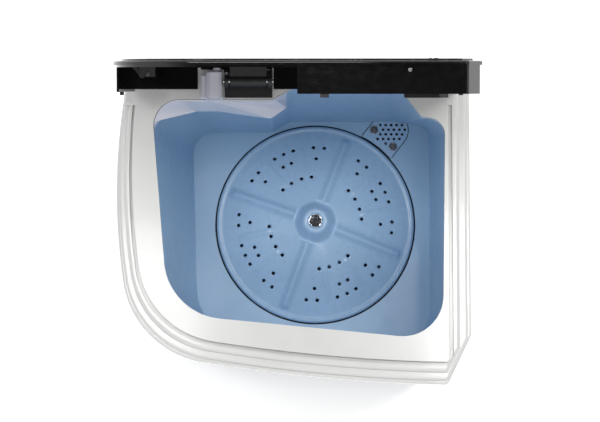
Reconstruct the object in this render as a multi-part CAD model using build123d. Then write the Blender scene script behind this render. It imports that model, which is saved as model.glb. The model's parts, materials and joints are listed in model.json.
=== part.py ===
from build123d import *
import math
import os

# Top load pulsator washing machine, lid standing open. Millimetres, +Z up,
# front towards -Y, origin on the floor under the middle of the machine.

# ---------------------------------------------------------------- heights
PANEL_Z = 780.0            # flat top of the white top cover
RIM_BOTTOM = 738.0         # lower edge of the stepped rim of the top cover
TUB_FLOOR = 430.0          # inside floor of the wash tub
BASE_TOP = 34.0            # top of the base tray, where the cabinet stands
FOOT_H = 22.0
WALL = 3.0                 # moulded wall thickness
GAP = 0.6                  # gap between pieces that only sit side by side
LIP_BOTTOM = PANEL_Z - 15  # lower edge of the white edge of the opening
SPLASH_BOTTOM = PANEL_Z - 52
TUB_TOP, TUB_STEP = PANEL_Z - 15.2, 0.8
REAR_Y = 229.5             # rear face of the top cover
BACK_Y = 226.5             # rear wall of the cabinet

# ------------------------------------------------- plan of the stepped rim
# Each pair is (edge of the flat panel, outermost skirt); rim(t) runs between.
LEFT_REAR = ((-218.6, REAR_Y), (-235.5, REAR_Y))
LEFT_MID = ((-229.8, 78.0), (-252.5, 54.0))
CORNER = ((-202.6, -154.6), (-222.3, -180.5))
FRONT_MID = ((0.0, -184.4), (0.0, -214.6))
FRONT_END = ((217.0, -199.0), (219.0, -229.5))
RIGHT_START = ((221.0, -195.0), (252.5, -160.0))
CORNER_R = (125.0, 136.0)
BAND_1, BAND_2, BAND_3 = 0.47, 0.83, 1.0
CABINET_TOP_T, CABINET_FOOT_T = 0.60, 0.02

# ------------------------------------------------------ opening of the tub
OPENING = [(-203.0, 176.0), (-30.0, 176.0), (2.0, 194.0), (150.0, 194.0),
           (184.0, 150.0), (216.5, 150.0), (211.5, -168.0), (-176.7, -130.2)]
OPENING_R = [38.0, 14.0, 20.0, 25.0, 12.0, 25.0, 58.0, 88.0]
TUB_SEAT = [(-160.0, 180.0), (-34.0, 181.0), (-6.0, 197.0), (160.0, 197.0),
            (180.0, 194.0), (214.0, 190.0), (213.0, -160.0), (-150.0, -134.0)]
TUB_SEAT_R = [34.0, 14.0, 20.0, 25.0, 20.0, 24.0, 56.0, 70.0]

# -------------------------------------------------------------- pulsator
PULSATOR = (33.5, 34.0)
PULSATOR_R = 155.5
RECESS_R = 157.5
RIB_ANGLE = 69.5           # direction of the first main rib
HOLE_R = 2.8
# Each pair is (radius of the ring of holes, angles after each main rib).
HOLE_RINGS = [(120.5, (13.7, 21.8, 37.2, 44.9, 52.4, 68.4, 76.2)),
              (102.3, (19.7, 42.1, 50.1, 70.5)),
              (72.5, (25.1, 37.8, 51.6, 64.9))]
SMALL_RIBS = (31.0, 59.0)
HUB_TOP = TUB_FLOOR + 58
CONE_R0, CONE_Z0 = 34.0, TUB_FLOOR + 37
CONE_R1, CONE_Z1 = 148.0, TUB_FLOOR + 5

# ------------------------------------------------------------------- lid
HINGE_Y, HINGE_Z = 199.0, PANEL_Z + 16.0
LID_OPEN = 80.0            # degrees from closed
SKIRT_BOTTOM = PANEL_Z + 2.0
SKIRT_H = 36.0
PLATE_T = 5.5
PLATE_Z = SKIRT_BOTTOM + SKIRT_H
LID_REAR = HINGE_Y + 10.0
REAR_CUT_Z = HINGE_Z - 11.0   # the lid's rear wall ends here, to clear the panel as it swings
SKIRT_T, PLATE_EDGE_T = 0.45, 0.55
HINGES = {"left": (-98.0, -30.0), "right": (158.0, 212.0)}
PIN_R = 3.0
RUN = 0.05                 # running clearance on a radius

# ----------------------------------------------------------------- drive
SHAFT_R = 8.0
MOTOR = (-105.0, -60.0)
PULLEY_R, MOTOR_PULLEY_R = 95.0, 20.0
BELT_Z, GROOVE_H, GROOVE_D = 271.0, 10.0, 8.0
MOTOR_R, MOTOR_Z0, MOTOR_Z1 = 62.0, 120.0, 232.0
CAPACITOR = (70.0, -120.0)

# ----------------------------------------------------------------- drain
DRAIN = (151.5, 184.0)     # centre of the round end of the drain cover
DRAIN_R = 29.0
DRAIN_SCREWS = [(126.5, 185.0), (156.5, 158.0)]
VALVE = (128.0, 160.0)     # axis of the valve chamber below the tub
STEM_Z = 380.0
DRAIN_OUT = (176.0, BACK_Y, 92.0)

# ----------------------------------------------------------- water inlet
SPOUT_X, SPOUT_Y = -112.0, 201.0
WATER_IN_Z = 690.0
CORD_IN = (-178.0, BACK_Y, 420.0)
FITTING = 14.0             # how far the water fittings stand out of the back

# ------------------------------------------------------ rear service cover
COVER_SCREWS = [(x, z) for x in (-146, 0, 146) for z in (94, 366)]

# ------------------------------------------------------------------ feet
FEET = [(-150, -120), (175, -150), (-180, 185), (180, 185)]

# -------------------------------------------------------------- controls
CONSOLE = (92.0, -211.0, 668.0)
CONSOLE_TURN = -3.9        # degrees about Z, square to the front wall
CONSOLE_W, CONSOLE_H = 210.0, 96.0
CONSOLE_DEPTH = 14.0
KNOBS = {"timer": 52.0, "selector": -52.0}
KNOB_R, KNOB_H = 27.0, 16.0


def lerp(pair, t):
    a, b = pair
    if isinstance(a, tuple):
        return tuple(p + (q - p) * t for p, q in zip(a, b))
    return a + (b - a) * t


def rim(t, rear=REAR_Y, z=0.0):
    """Plan outline of the body, from the panel edge (0) to the skirt (1)."""
    start = (lerp(LEFT_REAR, t)[0], rear)
    corner, front, side = lerp(CORNER, t), lerp(FRONT_END, t), lerp(RIGHT_START, t)
    left = ThreePointArc(start, lerp(LEFT_MID, t), corner)
    bow = ThreePointArc(corner, lerp(FRONT_MID, t), front)
    cheek = Line(front, side)
    right = Line(side, (side[0], rear))
    back = Line((side[0], rear), start)
    face = make_face([left, bow, cheek, right, back])
    face = fillet(near(face.vertices(), corner), lerp(CORNER_R, t))
    small = near(face.vertices(), front) + near(face.vertices(), side)
    face = fillet(small, 2.0 + 6.0 * max(t, 0.0))
    return Pos(0, 0, z) * face


def near(vertices, point):
    return ShapeList([min(vertices, key=lambda v: (v.X - point[0]) ** 2 + (v.Y - point[1]) ** 2)])


def rounded(points, radii, z=0.0):
    """Closed polygon with its own radius at each corner."""
    face = make_face(Polyline(*points, close=True))
    for point, radius in zip(points, radii):
        face = fillet(near(face.vertices(), point), radius)
    return Pos(0, 0, z) * face


def slab(face, z0, z1):
    return extrude(Pos(0, 0, z0) * face, amount=z1 - z0, dir=(0, 0, 1))


def cyl(x, y, z0, z1, radius):
    return Pos(x, y, (z0 + z1) / 2) * Cylinder(radius, z1 - z0)


def tube(x, y, z0, z1, outer, inner):
    return cyl(x, y, z0, z1, outer) - cyl(x, y, z0, z1, inner)


def block(x0, x1, y0, y1, z0, z1):
    return Pos((x0 + x1) / 2, (y0 + y1) / 2, (z0 + z1) / 2) * Box(x1 - x0, y1 - y0, z1 - z0)


def along_y(x, z, y0, y1, radius):
    return Pos(x, (y0 + y1) / 2, z) * Rot(90, 0, 0) * Cylinder(radius, y1 - y0)


def along_x(y, z, x0, x1, radius):
    return Pos((x0 + x1) / 2, y, z) * Rot(0, 90, 0) * Cylinder(radius, x1 - x0)


def polar(centre, radius, degrees):
    a = math.radians(degrees)
    return centre[0] + radius * math.cos(a), centre[1] + radius * math.sin(a)


def save(name, shape):
    solids = shape.solids()
    shape = solids[0] if len(solids) == 1 else Compound(children=list(solids))
    export_step(shape, os.path.join("parts", name + ".step"))


# ------------------------------------------------------------ white body
def top_edges(solid):
    return solid.edges().group_by(Axis.Z)[-1]


def top_cover():
    """Stepped white cover with a groove round the panel and the tub opening."""
    skirt = slab(rim(BAND_3), RIM_BOTTOM, PANEL_Z - 20)
    skirt = fillet(top_edges(skirt), 3.0)
    second = slab(rim(BAND_2), RIM_BOTTOM + 2, PANEL_Z - 11)
    second = fillet(top_edges(second), 4.0)
    first = slab(rim(BAND_1), RIM_BOTTOM + 2, PANEL_Z - 3)
    first = fillet(top_edges(first), 5.5)
    panel = slab(rim(0.0), PANEL_Z - 12, PANEL_Z)
    panel = fillet(top_edges(panel), 1.2)
    shoulder = slab(rim(0.80), PANEL_Z - 12, PANEL_Z) & block(-260, 260, 168, 240, 700, 800)
    shoulder = fillet(top_edges(shoulder), 2.0)
    shoulder -= block(205, 260, 100, 240, 700, 800)
    body = skirt + second + first + panel + shoulder
    groove = slab(rim(0.17), PANEL_Z - 10, PANEL_Z + 1) - slab(rim(0.0), PANEL_Z - 11, PANEL_Z + 2)
    body -= groove & block(-260, 260, -260, 168, 700, 800)
    body -= slab(rim(BAND_3 - 0.12, REAR_Y - WALL), RIM_BOTTOM - 1, PANEL_Z - 24)
    body -= slab(rim(BAND_2 - 0.12, REAR_Y - WALL), RIM_BOTTOM - 1, PANEL_Z - 15)
    body -= slab(offset(rim(0.0, REAR_Y - WALL), -WALL), RIM_BOTTOM - 1, PANEL_Z - WALL)
    hole = rounded(OPENING, OPENING_R)
    body += slab(offset(hole, WALL), LIP_BOTTOM, PANEL_Z - 1)
    body -= slab(hole, LIP_BOTTOM - 1, PANEL_Z + 1)
    return body - cyl(SPOUT_X, SPOUT_Y, PANEL_Z - 10, PANEL_Z + 1, 8.0)


def splash_lip():
    """White lining that leans out of the rear left of the opening over the tub."""
    top = rounded([(-215, 118), (-201, 118), (-200, 173), (-112, 173), (-31, 173), (-8, 187),
                   (-8, 210), (-215, 210)], [1, 1, 34, 1, 12, 1, 1, 1], PANEL_Z - 1)
    low = rounded([(-215, 118), (-201, 118), (-196, 166), (-112, 167), (-33, 156), (-10, 172),
                   (-10, 210), (-215, 210)], [1, 1, 30, 1, 12, 1, 1, 1], SPLASH_BOTTOM)
    wedge = loft([low, top], ruled=True)
    lining = wedge - Pos(0, WALL, -WALL) * wedge
    hole = rounded(OPENING, OPENING_R)
    room = slab(offset(hole, -GAP), LIP_BOTTOM - 1, PANEL_Z) + tub_cavity(-GAP)
    return lining & room


def cabinet_loft(grow, rear):
    low = offset(rim(CABINET_FOOT_T, rear, BASE_TOP), grow) if grow else rim(CABINET_FOOT_T, rear, BASE_TOP)
    high = rim(CABINET_TOP_T, rear, PANEL_Z - 35)
    if grow:
        high = offset(high, grow)
    return loft([low, high], ruled=True)


def cabinet():
    body = cabinet_loft(0, BACK_Y) - cabinet_loft(-WALL, BACK_Y)
    body -= block(-140, 140, 200, 240, 100, 360)
    body -= console_frame() * Box(CONSOLE_W - 12, 60, CONSOLE_H - 12)
    for x, z in COVER_SCREWS:
        body -= along_y(x, z, 200, 240, 2.0)
    body -= along_y(DRAIN_OUT[0], DRAIN_OUT[2], 200, 240, 12.2)
    body -= along_y(CORD_IN[0], CORD_IN[2], 200, 240, 7.0)
    body -= along_y(SPOUT_X, WATER_IN_Z, 200, 240, 13.4)
    return body


def base_tray():
    foot = rim(CABINET_FOOT_T, BACK_Y)
    tray = slab(foot, FOOT_H, BASE_TOP) - slab(offset(foot, -WALL * 2), FOOT_H + 5, BASE_TOP + 1)
    for x in (-150, -70, 10, 130):
        tray += block(x - 2, x + 2, -170, 220, FOOT_H + 4, BASE_TOP) & slab(foot, FOOT_H, BASE_TOP)
    for x in (-80, 0, 80):
        for y in (-110, -40, 30, 100, 170):
            tray -= block(x - 24, x + 24, y - 4, y + 4, FOOT_H - 1, FOOT_H + 6)
    return tray


def foot(x, y):
    pad = cyl(x, y, 0, FOOT_H, 17)
    return fillet(pad.edges().group_by(Axis.Z)[0], 3)


def rear_cover():
    plate = block(-152, 152, BACK_Y, BACK_Y + 2.4, 88, 372)
    plate = fillet(plate.edges().filter_by(Axis.Y), 10)
    for row in range(8):
        for side in (-70, 70):
            z = 150 + row * 16
            plate -= block(side - 45, side + 45, BACK_Y - 1, BACK_Y + 4, z, z + 5)
    for x, z in COVER_SCREWS:
        plate -= along_y(x, z, BACK_Y - 6, BACK_Y + 6, 2.2)
    return plate


def screw_y(x, y, z, head=4.2, shank=2.0, length=9.0):
    """Pan head screw driven along -Y, its head on the plane y."""
    dome = Pos(x, y + 1.2, z) * Rot(90, 0, 0) * Cylinder(head, 2.4)
    dome = fillet(dome.edges().group_by(Axis.Y)[-1], 1.0)
    dome += Pos(x, y - length / 2, z) * Rot(90, 0, 0) * Cylinder(shank, length)
    return dome - block(x - 2.5, x + 2.5, y + 1.4, y + 3, z - 0.5, z + 0.5) \
                - block(x - 0.5, x + 0.5, y + 1.4, y + 3, z - 2.5, z + 2.5)


def screw_z(x, y, z, head=4.2, shank=2.0, length=9.0):
    """Pan head screw driven down, its head on the plane z."""
    dome = cyl(x, y, z, z + 2.4, head)
    dome = fillet(dome.edges().group_by(Axis.Z)[-1], 1.0)
    dome += cyl(x, y, z - length, z, shank)
    return dome - block(x - 2.5, x + 2.5, y - 0.5, y + 0.5, z + 1.2, z + 3) \
                - block(x - 0.5, x + 0.5, y - 2.5, y + 2.5, z + 1.2, z + 3)


# -------------------------------------------------------------- wash tub
def drain_slot(grow, z):
    """Round ended tongue that reaches from the drain towards the pulsator."""
    toward = math.degrees(math.atan2(PULSATOR[1] - DRAIN[1], PULSATOR[0] - DRAIN[0]))
    tongue = Pos(*DRAIN) * Rot(0, 0, toward) * Pos(35, 0) * Rectangle(70, 2 * (DRAIN_R + grow))
    return Pos(0, 0, z) * (Pos(*DRAIN) * Circle(DRAIN_R + grow) + tongue)


def tub_cavity(grow):
    """Inside of the tub, from the opening down to its floor."""
    seat = offset(rounded(TUB_SEAT, TUB_SEAT_R, TUB_FLOOR - max(grow, 0) * 1.2), grow)
    mouth = offset(rounded(OPENING, OPENING_R, TUB_TOP), grow + TUB_STEP)
    return loft([seat, mouth], ruled=True)


def wash_tub():
    px, py = PULSATOR
    tub = tub_cavity(WALL)
    tub += cyl(px, py, TUB_FLOOR - 20, TUB_FLOOR - 1, RECESS_R + WALL)
    tub += cyl(px, py, TUB_FLOOR - 26, TUB_FLOOR - 19, 40)
    tub += slab(drain_slot(WALL, 0), TUB_FLOOR - 12, TUB_FLOOR - 1)
    tub += cyl(*VALVE, TUB_FLOOR - 30, TUB_FLOOR - 11, 24)
    tub -= tub_cavity(0)
    tub -= cyl(px, py, TUB_FLOOR - 14, TUB_FLOOR + 1, RECESS_R)
    tub -= slab(drain_slot(GAP, 0), TUB_FLOOR - 4, TUB_FLOOR + 1)
    tub -= slab(drain_slot(-WALL, 0), TUB_FLOOR - 9, TUB_FLOOR + 1)
    tub -= cyl(*VALVE, TUB_FLOOR - 31, TUB_FLOOR, 18)
    return tub - cyl(px, py, TUB_FLOOR - 30, TUB_FLOOR, 22)


# ------------------------------------------------------- drain and valve
def drain_cover():
    """Perforated cover, flush with the tub floor, held by two screws."""
    cover = slab(drain_slot(0, 0), TUB_FLOOR - 4, TUB_FLOOR)
    cover -= cyl(*PULSATOR, TUB_FLOOR - 10, TUB_FLOOR + 1, RECESS_R + 1.2)
    for row in range(-3, 4):
        for col in range(-3, 4):
            x = DRAIN[0] + 8.6 * col + 4.3 * (row % 2) - 2
            y = DRAIN[1] + 7.4 * row + 1
            inside = math.dist((x, y), DRAIN) < DRAIN_R - 5
            clear = min(math.dist((x, y), s) for s in DRAIN_SCREWS) > 10
            if inside and clear:
                cover -= cyl(x, y, TUB_FLOOR - 5, TUB_FLOOR + 1, 2.3)
    for x, y in DRAIN_SCREWS:
        cover -= cyl(x, y, TUB_FLOOR - 2, TUB_FLOOR + 1, 7.2)
        cover -= cyl(x, y, TUB_FLOOR - 5, TUB_FLOOR + 1, 2.2)
    return cover


def drain_cover_screws():
    screws = []
    for x, y in DRAIN_SCREWS:
        screw = screw_z(x, y, TUB_FLOOR - 1.2, 4.6, 1.9, 5.0)
        screws.append(screw + tube(x, y, TUB_FLOOR - 2, TUB_FLOOR - 1.2, 6.6, 1.5))
    return Compound(children=screws)


def valve_body():
    """Chamber under the tub: water comes in on top and leaves below."""
    x, y = VALVE
    body = block(x - 66, x + 22, y - 22, y + 22, STEM_Z - 20, TUB_FLOOR - 30)
    body = fillet(body.edges().filter_by(Axis.Z), 6)
    body += along_x(y, STEM_Z, x - 78, x - 60, 12)
    body += cyl(x - 42, y, STEM_Z - 52, STEM_Z - 18, 14)
    body -= along_x(y, STEM_Z, x - 20, x + 18, 16)
    body -= along_x(y, STEM_Z, x - 62, x - 24, 16)
    body -= along_x(y, STEM_Z, x - 30, x - 15, 11)
    body -= along_x(y, STEM_Z, x - 75, x - 60, 9.5)
    body -= along_x(y, STEM_Z, x - 80, x - 70, 3.3)
    body -= cyl(x, y, STEM_Z, TUB_FLOOR - 29, 16)
    return body - cyl(x - 42, y, STEM_Z - 53, STEM_Z - 8, 11)


def valve_plunger():
    x, y = VALVE
    disc = along_x(y, STEM_Z, x - 33, x - 24.4, 14)
    disc = fillet(disc.edges().group_by(Axis.X)[-1], 4)
    return disc - along_x(y, STEM_Z, x - 34, x - 28, 3.0)


def valve_stem():
    """Stem of the plunger, its end lug and the wire that runs into the sheath."""
    x, y = VALVE
    stem = along_x(y, STEM_Z, x - 100, x - 28, 3.0) + along_x(y, STEM_Z, x - 102, x - 96, 5)
    return stem + along_x(y, STEM_Z, x - 122, x - 101, 0.6)


def valve_spring():
    x, y = VALVE
    coil = Helix(pitch=4.4, height=20, radius=6.6)
    wire = Plane(coil @ 0, z_dir=coil % 0) * Circle(0.8)
    return Pos(x - 34, y, STEM_Z) * Rot(0, -90, 0) * sweep(wire, path=coil)


def pipe(points, radii, outer, inner):
    path = FilletPolyline(*points, radius=radii)
    ring = Plane(path @ 0, z_dir=path % 0) * (Circle(outer) - Circle(inner))
    return sweep(ring, path=path)


def drain_pipe():
    x, y = VALVE
    points = [(x - 42, y, STEM_Z - 52.4), (x - 42, y, 240), (x + 2, y - 6, 132),
              (DRAIN_OUT[0], y + 2, DRAIN_OUT[2]), (DRAIN_OUT[0], 205.6, DRAIN_OUT[2])]
    return pipe(points, [60, 60, 30], 12.5, 9.5)


def drain_outlet():
    x, y, z = DRAIN_OUT
    spigot = along_y(x, z, 206, y + FITTING, 12) + along_y(x, z, y, y + 3, 18)
    return spigot - along_y(x, z, 205, y + FITTING + 1, 9)


def cord_gland():
    """Rubber bush of the mains inlet."""
    x, y, z = CORD_IN
    bush = along_y(x, z, y, y + 3, 11) + along_y(x, z, y - 6, y + 0.5, 6.8)
    return bush - along_y(x, z, y - 7, y + 4, 3.6)


def inlet_fitting():
    """Threaded water inlet on the back, with its elbow inside."""
    x, z = SPOUT_X, WATER_IN_Z
    body = along_y(x, z, SPOUT_Y - 10, BACK_Y + FITTING, 13.2) + along_y(x, z, BACK_Y, BACK_Y + 3, 19)
    for ring in range(4):
        body += along_y(x, z, BACK_Y + 4 + ring * 2.4, BACK_Y + 5.2 + ring * 2.4, 14.0)
    body += cyl(x, SPOUT_Y, z, z + 22, 9.5)
    body -= along_y(x, z, SPOUT_Y, BACK_Y + FITTING + 1, 9.0)
    return body - cyl(x, SPOUT_Y, z, z + 23, 7.0)


def inlet_pipe():
    return tube(SPOUT_X, SPOUT_Y, WATER_IN_Z + 22, PANEL_Z - WALL, 9.5, 7.0)


def inlet_spout():
    """White spout on the panel that pours over the rear lip into the tub."""
    top = PANEL_Z + 24
    duct = block(-124, -100.5, 174, 213, PANEL_Z, top)
    duct = fillet(duct.edges().filter_by(Axis.Y).group_by(Axis.Z)[-1], 7)
    duct = fillet(duct.edges().group_by(Axis.Y)[-1].group_by(Axis.Z)[-1], 3)
    side = block(-132, -123, 176, 207, PANEL_Z, top - 8)
    side = fillet(side.edges().filter_by(Axis.Y).group_by(Axis.Z)[-1], 4)
    duct += side + along_y(-109, PANEL_Z + 13, 212, 218, 6)
    duct += cyl(SPOUT_X, SPOUT_Y, PANEL_Z - WALL, PANEL_Z + 2, 7.9)
    duct -= block(-121, -103.5, 173, 209, PANEL_Z + 3, top - 4)
    return duct - cyl(SPOUT_X, SPOUT_Y, PANEL_Z - WALL - 1, PANEL_Z + 6, 6.0)


# -------------------------------------------------------------- pulsator
def cone_z(radius):
    return CONE_Z0 + (CONE_Z1 - CONE_Z0) * (radius - CONE_R0) / (CONE_R1 - CONE_R0)


def ray(r0, z0, r1, z1, w0, w1, degrees):
    """Rounded rib from radius r0 to r1, lying on the cone of the pulsator."""
    a, b = Vector(r0, 0, z0), Vector(r1, 0, z1)
    along = (b - a).normalized()
    base = Plane(a, x_dir=(0, 1, 0), z_dir=along)
    core = base * Pos(0, 0, (b - a).length / 2) * Cone(w0, w1, (b - a).length)
    core += Pos(*a) * Sphere(w0)
    core += Pos(*b) * Sphere(w1)
    return Pos(*PULSATOR, 0) * Rot(0, 0, degrees) * core


def pulsator_disc():
    """Conical disc with four main ribs, eight small ribs and sixty holes."""
    low = TUB_FLOOR - 9
    outline = [(8.0, low + 2), (8.0, HUB_TOP - 30), (4.2, HUB_TOP - 30), (4.2, HUB_TOP - 26),
               (11.0, HUB_TOP - 26), (11.0, HUB_TOP), (17.0, HUB_TOP), (26.0, HUB_TOP - 4),
               (31.0, HUB_TOP - 13), (CONE_R0, CONE_Z0), (CONE_R1, CONE_Z1),
               (PULSATOR_R - 3, TUB_FLOOR + 6), (PULSATOR_R, TUB_FLOOR + 3), (PULSATOR_R, low),
               (PULSATOR_R - 3, low), (PULSATOR_R - 3, TUB_FLOOR), (CONE_R1 - 1, CONE_Z1 - 4),
               (CONE_R0, CONE_Z0 - 5), (16.0, CONE_Z0 - 3), (16.0, low + 2)]
    profile = Plane.XZ * make_face(Polyline(*outline, close=True))
    disc = Pos(*PULSATOR, 0) * revolve(profile, Axis.Z)
    ribs = []
    for quarter in range(4):
        turn = RIB_ANGLE + 90 * quarter
        ribs.append(ray(27, CONE_Z0 + 4, 138, cone_z(138) - 2, 5.6, 7.4, turn))
        for small in SMALL_RIBS:
            ribs.append(ray(78, cone_z(78) - 0.6, 118, cone_z(118) - 0.6, 2.3, 3.2, turn + small))
    disc = disc + ribs
    inner = Plane.XZ * make_face(Polyline((16, low - 8), (16, CONE_Z0 - 3), (CONE_R0, CONE_Z0 - 5),
                                          (CONE_R1 - 1, CONE_Z1 - 4), (CONE_R1 - 1, low - 8), close=True))
    disc -= Pos(*PULSATOR, 0) * revolve(inner, Axis.Z)
    drills = [cyl(*polar(PULSATOR, r, RIB_ANGLE + 90 * q + a), low, HUB_TOP, HOLE_R)
              for q in range(4) for r, angles in HOLE_RINGS for a in angles]
    return disc - drills


def pulsator_screw():
    x, y = PULSATOR
    head = Pos(x, y, HUB_TOP - 23) * extrude(RegularPolygon(9.0, 6), 5)
    head = head + cyl(x, y, HUB_TOP - 26, HUB_TOP - 23, 9.6)
    return head + cyl(x, y, HUB_TOP - 48, HUB_TOP - 25, 3.9)


def pulsator_shaft():
    x, y = PULSATOR
    shaft = cyl(x, y, BELT_Z - 31, HUB_TOP - 30, SHAFT_R)
    return shaft - cyl(x, y, HUB_TOP - 50, HUB_TOP - 29, 3.9)


def bearing_housing():
    x, y = PULSATOR
    body = cyl(x, y, TUB_FLOOR - 130, TUB_FLOOR - 34, 21)
    body += cyl(x, y, TUB_FLOOR - 34, TUB_FLOOR - 26, 44)
    body += cyl(x, y, TUB_FLOOR - 27, TUB_FLOOR - 15, 21.8)
    for k in range(6):
        fin = block(20, 40, -2, 2, TUB_FLOOR - 70, TUB_FLOOR - 33)
        body += Pos(x, y, 0) * Rot(0, 0, 60 * k) * fin
    return body - cyl(x, y, TUB_FLOOR - 131, TUB_FLOOR - 14, 14)


def bush(z0, z1):
    return tube(*PULSATOR, z0, z1, 14, SHAFT_R + RUN)


def shaft_seal():
    return tube(*PULSATOR, TUB_FLOOR - 28, TUB_FLOOR - 15.5, 14, SHAFT_R + 0.3)


# ----------------------------------------------------------------- drive
def grooved(radius, half):
    """Rim of a belt pulley about Z, with its groove."""
    rim_solid = Cylinder(radius, 2 * half)
    groove = Cylinder(radius + 1, GROOVE_H) - Cylinder(radius - GROOVE_D, GROOVE_H + 1)
    return rim_solid - groove


def drive_pulley():
    pulley = grooved(PULLEY_R, 9) - Cylinder(PULLEY_R - 14, 20)
    pulley += Cylinder(19, 30) + Pos(0, 0, -4) * Cylinder(PULLEY_R - 13, 5)
    for k in range(6):
        pulley -= Rot(0, 0, 60 * k) * Pos(50, 0, -4) * Cylinder(19, 8)
        pulley += Rot(0, 0, 60 * k + 30) * Pos(50, 0, 1) * Box(66, 5, 8)
    return Pos(*PULSATOR, BELT_Z) * (pulley - Cylinder(SHAFT_R, 40))


def pulley_nut():
    x, y = PULSATOR
    nut = Pos(x, y, BELT_Z - 25) * extrude(RegularPolygon(14, 6), 10)
    return nut - cyl(x, y, BELT_Z - 40, BELT_Z, SHAFT_R)


def motor_pulley():
    pulley = grooved(MOTOR_PULLEY_R, 9) + Pos(0, 0, -12) * Cylinder(11, 8)
    return Pos(*MOTOR, BELT_Z) * (pulley - Cylinder(6, 60))


def motor_shaft():
    return cyl(*MOTOR, MOTOR_Z0 - 8, BELT_Z + 14, 6)


def wash_motor():
    """Stator between two end shells, on a square flange with four feet."""
    x, y = MOTOR
    body = cyl(x, y, MOTOR_Z0 + 26, MOTOR_Z1 - 26, MOTOR_R)
    for z0, z1 in ((MOTOR_Z0, MOTOR_Z0 + 26), (MOTOR_Z1 - 26, MOTOR_Z1)):
        shell = cyl(x, y, z0, z1, MOTOR_R - 4)
        end = 0 if z0 == MOTOR_Z0 else -1
        body += fillet(shell.edges().group_by(Axis.Z)[end], 10)
    for k in range(12):
        body -= Pos(x, y, 0) * Rot(0, 0, 30 * k) * block(44, 70, -3, 3, MOTOR_Z1 - 18, MOTOR_Z1 - 8)
    for px, py in motor_feet():
        body += cyl(px, py, MOTOR_Z0, MOTOR_Z0 + 5, 11)
        body += Pos(x, y, MOTOR_Z0 + 2.5) * Rot(0, 0, math.degrees(math.atan2(py - y, px - x))) \
            * Pos(55, 0, 0) * Box(26, 14, 5)
    for px, py in motor_feet():
        body -= cyl(px, py, MOTOR_Z0 - 1, MOTOR_Z0 + 6, 3.3)
    return body - cyl(x, y, MOTOR_Z0 - 1, MOTOR_Z1 + 1, 6 + RUN)


def motor_feet():
    return [polar(MOTOR, 70, 45 + 90 * k) for k in range(4)]


def motor_mounts():
    return Compound(children=[tube(px, py, MOTOR_Z0 - 8, MOTOR_Z0, 10, 3.3) for px, py in motor_feet()])


def motor_bolts():
    bolts = []
    for px, py in motor_feet():
        bolt = cyl(px, py, MOTOR_Z0 - 18, MOTOR_Z0 + 5.5, 3)
        bolts.append(bolt + Pos(px, py, MOTOR_Z0 + 5) * extrude(RegularPolygon(6, 6), 5))
    return Compound(children=bolts)


def motor_bracket():
    """Pressed plate on four legs that carries the motor on its rubber mounts."""
    x, y = MOTOR
    top = MOTOR_Z0 - 8
    plate = cyl(x, y, top - 4, top, 82) - cyl(x, y, top - 5, top + 1, 40)
    for k in range(4):
        px, py = polar(MOTOR, 74, 90 * k)
        plate += cyl(px, py, FOOT_H + 5, top - 2, 7)
        plate += cyl(px, py, FOOT_H + 5, FOOT_H + 9, 12)
    for px, py in motor_feet():
        plate -= cyl(px, py, top - 6, top + 1, 3)
    return plate


def drive_belt():
    inner, outer = GROOVE_D - 1, -1.0
    far = (MOTOR[0] - PULSATOR[0], MOTOR[1] - PULSATOR[1])

    def loop(cut):
        big, small = Circle(PULLEY_R - cut), Pos(*far) * Circle(MOTOR_PULLEY_R - cut)
        return make_face(make_hull(big.edges() + small.edges()).edges())
    band = slab(loop(outer), -4, 4) - slab(loop(inner), -5, 5)
    return Pos(*PULSATOR, BELT_Z) * band


def capacitor():
    can = cyl(*CAPACITOR, FOOT_H + 5, FOOT_H + 85, 20)
    can = fillet(can.edges().group_by(Axis.Z)[-1], 3)
    for side in (-6, 6):
        can += block(CAPACITOR[0] + side - 0.5, CAPACITOR[0] + side + 0.5, CAPACITOR[1] - 3,
                     CAPACITOR[1] + 3, FOOT_H + 84, FOOT_H + 95)
    return can


def capacitor_clamp():
    x, y = CAPACITOR
    clamp = tube(x, y, FOOT_H + 40, FOOT_H + 56, 21.5, 20)
    clamp += block(x + 21, x + 32, y - 2, y + 2, FOOT_H + 5, FOOT_H + 56)
    return clamp + block(x + 21, x + 46, y - 8, y + 8, FOOT_H + 5, FOOT_H + 7)


# -------------------------------------------------------------- controls
def console_frame():
    return Pos(*CONSOLE) * Rot(0, 0, CONSOLE_TURN)


def console_fascia():
    """Sunk black tray in the front wall that carries the two knobs."""
    flange = Pos(0, 1, 0) * Box(CONSOLE_W, 9, CONSOLE_H)
    flange = fillet(flange.edges().filter_by(Axis.Y), 10)
    flange = console_frame() * flange - cabinet_loft(0, BACK_Y)
    tray = Pos(0, 6.5, 0) * Box(CONSOLE_W - 13, 17, CONSOLE_H - 13)
    recess = Pos(0, -3.5 + CONSOLE_DEPTH / 2 - 1, 0) * Box(CONSOLE_W - 20, CONSOLE_DEPTH + 2, CONSOLE_H - 20)
    recess = fillet(recess.edges().filter_by(Axis.Y), 7)
    body = flange + console_frame() * tray
    body -= console_frame() * recess
    for x in KNOBS.values():
        body -= console_frame() * along_y(x, 0, -20, 30, 4.2)
    return body


def knob(x):
    """Turned knob with a grip bar, about the console's own depth axis."""
    back = CONSOLE_DEPTH - 3.9
    skirt = along_y(x, 0, back - 5, back, KNOB_R)
    skirt = fillet(skirt.edges().group_by(Axis.Y)[0], 2)
    dome = along_y(x, 0, back - KNOB_H + 3, back - 4, KNOB_R - 8)
    bar = block(x - 5, x + 5, back - KNOB_H, back - 4, -KNOB_R + 3, KNOB_R - 3)
    bar = fillet(bar.edges().filter_by(Axis.Y), 4)
    body = skirt + dome + bar - along_y(x, 0, back - 9, back + 1, 3.0)
    return console_frame() * body


def knob_shaft(x):
    back = CONSOLE_DEPTH - 3.9
    return console_frame() * along_y(x, 0, back - 9, back + 15.8, 3.0)


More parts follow.
